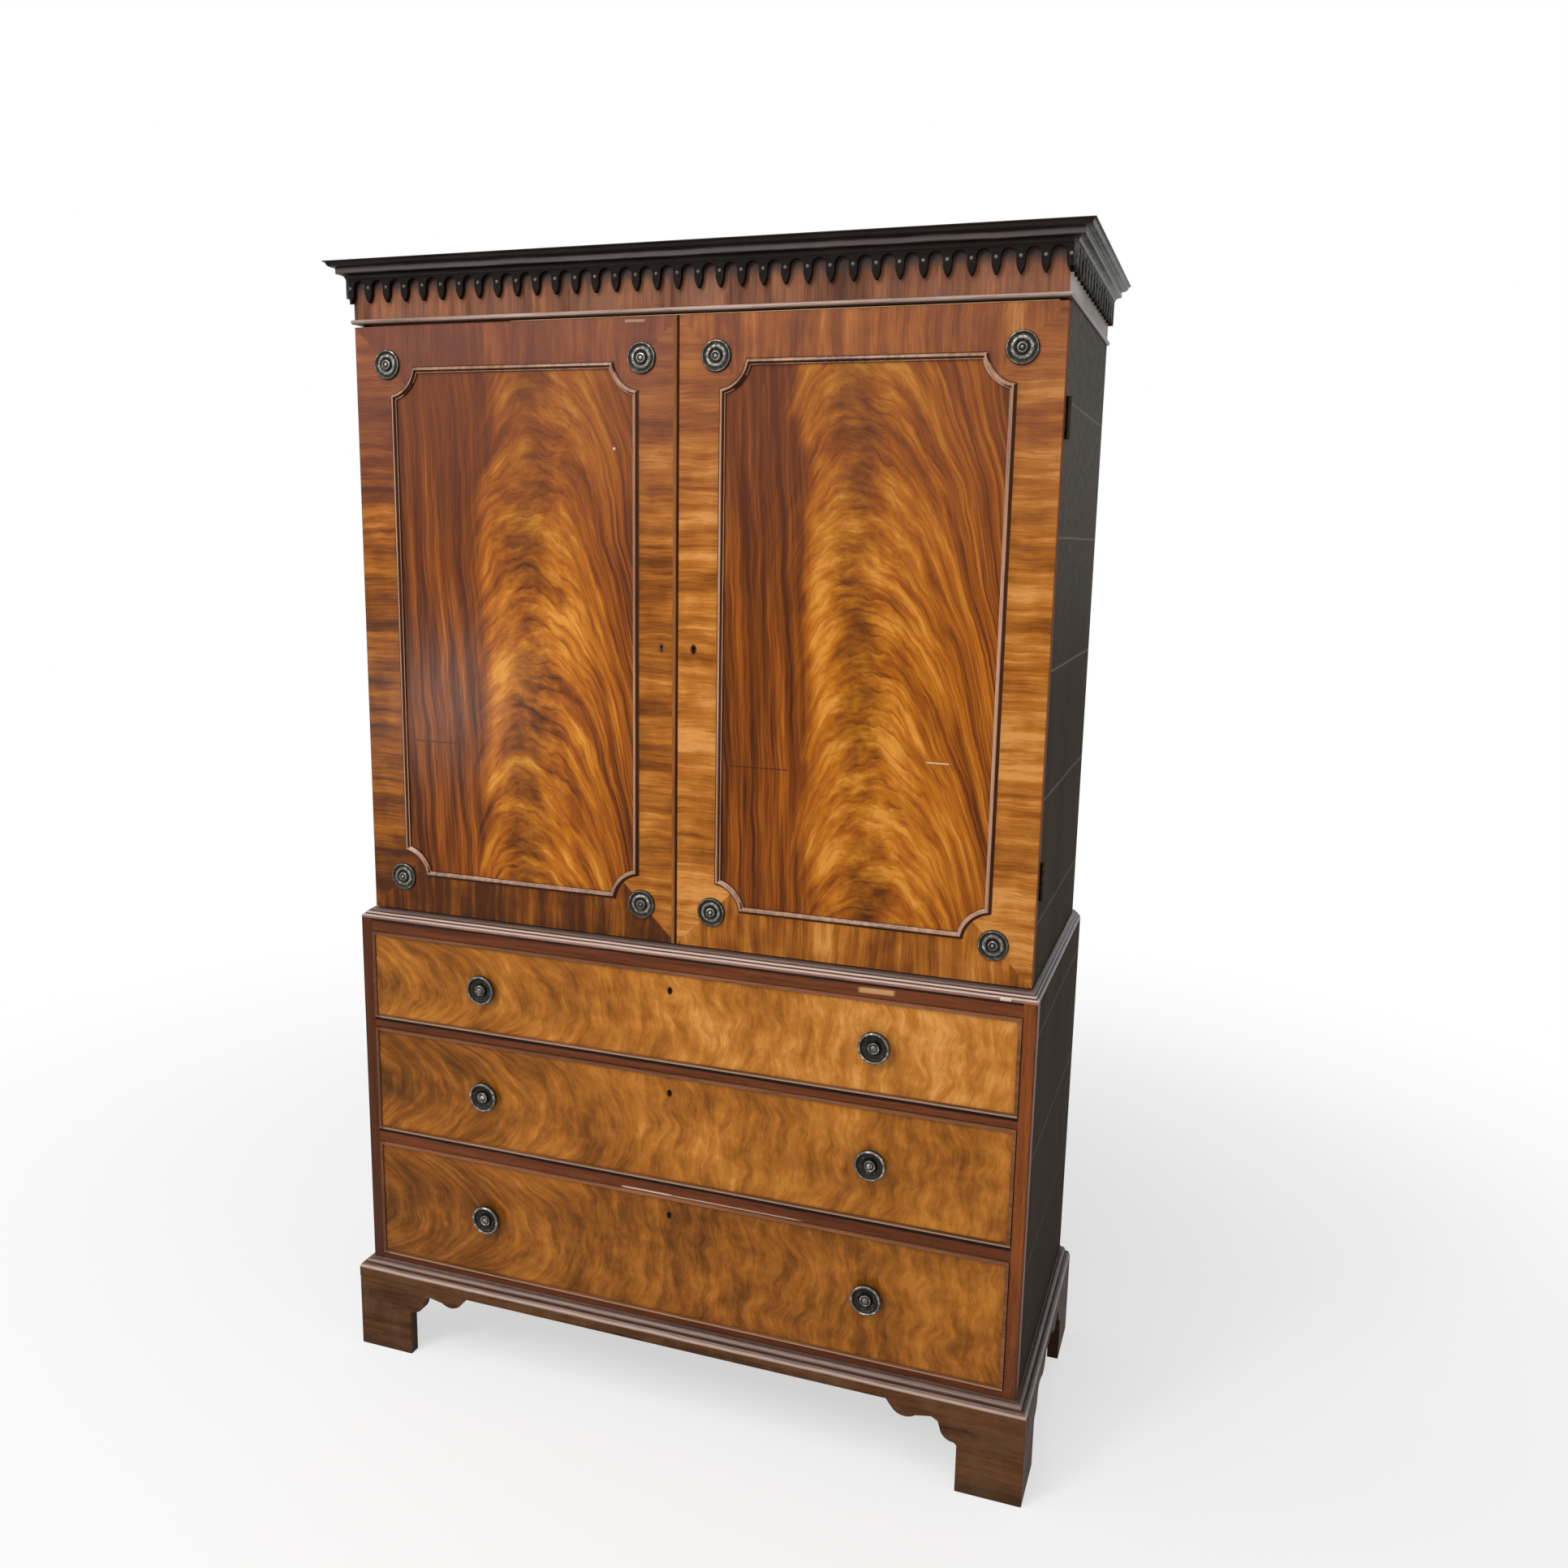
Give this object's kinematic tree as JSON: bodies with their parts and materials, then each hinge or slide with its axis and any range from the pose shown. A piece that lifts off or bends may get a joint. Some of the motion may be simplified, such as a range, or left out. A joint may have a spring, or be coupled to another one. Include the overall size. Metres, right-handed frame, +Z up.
{
  "type": "linen press",
  "caption": "Two-part linen press: panelled double doors over sliding trays, long drawers below, arcaded cornice, bracket feet.",
  "frame": {"origin": "middle of the floor under the whole piece, at the centre of its bounding box", "axes": "+Z up, -Y towards the viewer in front of the doors, +X to the viewer's right"},
  "size_m": [1.345, 0.5696, 2.1],
  "materials": {
    "carcase_mahogany": "old dark mahogany, waxed",
    "front_mahogany": "red-brown mahogany, polished",
    "moulding_mahogany": "red-brown mahogany mouldings, polished",
    "foot_mahogany": "dusty dark mahogany",
    "cornice_mahogany": "near-black mahogany",
    "frieze_mahogany": "straight-grained mahogany veneer",
    "crossband_veneer": "cross-grained mahogany veneer, polished",
    "flame_veneer": "flame mahogany veneer, polished",
    "figured_veneer": "wavy figured mahogany veneer, polished",
    "pine": "bare pine",
    "oak": "bare oak",
    "bronze": "dark patinated brass",
    "lock_brass": "dull brass",
    "bolt_steel": "bright steel bolts"
  },
  "bodies": {
    "root": {"arcade_moulding": "cornice_mahogany", "base_moulding": "moulding_mahogany", "case_hinges": "lock_brass", "cornice_frame": "frieze_mahogany", "crown_moulding": "cornice_mahogany", "drawer_front_frame": "front_mahogany", "drawer_supports": "pine", "foot_front_left": "foot_mahogany", "foot_front_right": "foot_mahogany", "frieze_bead": "cornice_mahogany", "lower_back_boards": "pine", "lower_bottom_board": "front_mahogany", "lower_side_left": "carcase_mahogany", "lower_side_right": "carcase_mahogany", "lower_top_board": "front_mahogany", "rear_feet": "foot_mahogany", "tray_runners": "pine", "upper_back_boards": "pine", "upper_bottom_board": "pine", "upper_side_left": "carcase_mahogany", "upper_side_right": "carcase_mahogany", "upper_top_board": "pine", "waist_moulding": "moulding_mahogany"},
    "bottom_drawer": {"bottom_drawer_box": "oak", "bottom_drawer_cockbead": "moulding_mahogany", "bottom_drawer_front": "figured_veneer", "bottom_drawer_knobs": "bronze", "bottom_drawer_lock": "lock_brass"},
    "bottom_drawer_lock_bolt": {"bottom_drawer_lock_bolt": "bolt_steel"},
    "door_left_bottom_bolt": {"door_left_bottom_bolt": "bolt_steel"},
    "door_left": {"door_left_frame": "crossband_veneer", "door_left_hinges_and_plates": "lock_brass", "door_left_mouldings": "moulding_mahogany", "door_left_panel": "flame_veneer", "door_left_paterae": "bronze"},
    "door_left_top_bolt": {"door_left_top_bolt": "bolt_steel"},
    "door_right": {"door_right_frame": "crossband_veneer", "door_right_hinges": "lock_brass", "door_right_lock": "lock_brass", "door_right_moulding": "moulding_mahogany", "door_right_panel": "flame_veneer", "door_right_paterae": "bronze"},
    "door_right_lock_bolt": {"door_right_lock_bolt": "bolt_steel"},
    "middle_drawer": {"middle_drawer_box": "oak", "middle_drawer_cockbead": "moulding_mahogany", "middle_drawer_front": "figured_veneer", "middle_drawer_knobs": "bronze", "middle_drawer_lock": "lock_brass"},
    "middle_drawer_lock_bolt": {"middle_drawer_lock_bolt": "bolt_steel"},
    "top_drawer": {"top_drawer_box": "oak", "top_drawer_cockbead": "moulding_mahogany", "top_drawer_front": "figured_veneer", "top_drawer_knobs": "bronze", "top_drawer_lock": "lock_brass"},
    "top_drawer_lock_bolt": {"top_drawer_lock_bolt": "bolt_steel"},
    "tray_1": {"tray_1": "oak"},
    "tray_2": {"tray_2": "oak"},
    "tray_3": {"tray_3": "oak"},
    "tray_4": {"tray_4": "oak"},
    "tray_5": {"tray_5": "oak"}
  },
  "joints": [
    {"name": "door_left_swing", "type": "hinge", "parent": "root", "child": "door_left", "pos_m": [-0.6395, -0.213, 1.46], "axis": [0, 0, -1], "range_deg": [0, 170]},
    {"name": "door_right_swing", "type": "hinge", "parent": "root", "child": "door_right", "pos_m": [0.6395, -0.213, 1.46], "axis": [0, 0, 1], "range_deg": [0, 170]},
    {"name": "top_drawer_slide", "type": "slide", "parent": "root", "child": "top_drawer", "axis": [0, -1, 0], "range_m": [0, 0.42]},
    {"name": "middle_drawer_slide", "type": "slide", "parent": "root", "child": "middle_drawer", "axis": [0, -1, 0], "range_m": [0, 0.42]},
    {"name": "bottom_drawer_slide", "type": "slide", "parent": "root", "child": "bottom_drawer", "axis": [0, -1, 0], "range_m": [0, 0.42]},
    {"name": "tray_1_slide", "type": "slide", "parent": "root", "child": "tray_1", "axis": [0, -1, 0], "range_m": [0, 0.04]},
    {"name": "tray_2_slide", "type": "slide", "parent": "root", "child": "tray_2", "axis": [0, -1, 0], "range_m": [0, 0.04]},
    {"name": "tray_3_slide", "type": "slide", "parent": "root", "child": "tray_3", "axis": [0, -1, 0], "range_m": [0, 0.04]},
    {"name": "tray_4_slide", "type": "slide", "parent": "root", "child": "tray_4", "axis": [0, -1, 0], "range_m": [0, 0.04]},
    {"name": "tray_5_slide", "type": "slide", "parent": "root", "child": "tray_5", "axis": [0, -1, 0], "range_m": [0, 0.04]},
    {"name": "top_drawer_bolt_throw", "type": "slide", "parent": "top_drawer", "child": "top_drawer_lock_bolt", "axis": [0, 0, 1], "range_m": [0, 0.012]},
    {"name": "middle_drawer_bolt_throw", "type": "slide", "parent": "middle_drawer", "child": "middle_drawer_lock_bolt", "axis": [0, 0, 1], "range_m": [0, 0.012]},
    {"name": "bottom_drawer_bolt_throw", "type": "slide", "parent": "bottom_drawer", "child": "bottom_drawer_lock_bolt", "axis": [0, 0, 1], "range_m": [0, 0.012]},
    {"name": "door_lock_bolt_throw", "type": "slide", "parent": "door_right", "child": "door_right_lock_bolt", "axis": [-1, 0, 0], "range_m": [0, 0.008]},
    {"name": "top_bolt_throw", "type": "slide", "parent": "door_left", "child": "door_left_top_bolt", "axis": [0, 0, 1], "range_m": [0, 0.014]},
    {"name": "bottom_bolt_throw", "type": "slide", "parent": "door_left", "child": "door_left_bottom_bolt", "axis": [0, 0, -1], "range_m": [0, 0.014]}
  ]
}
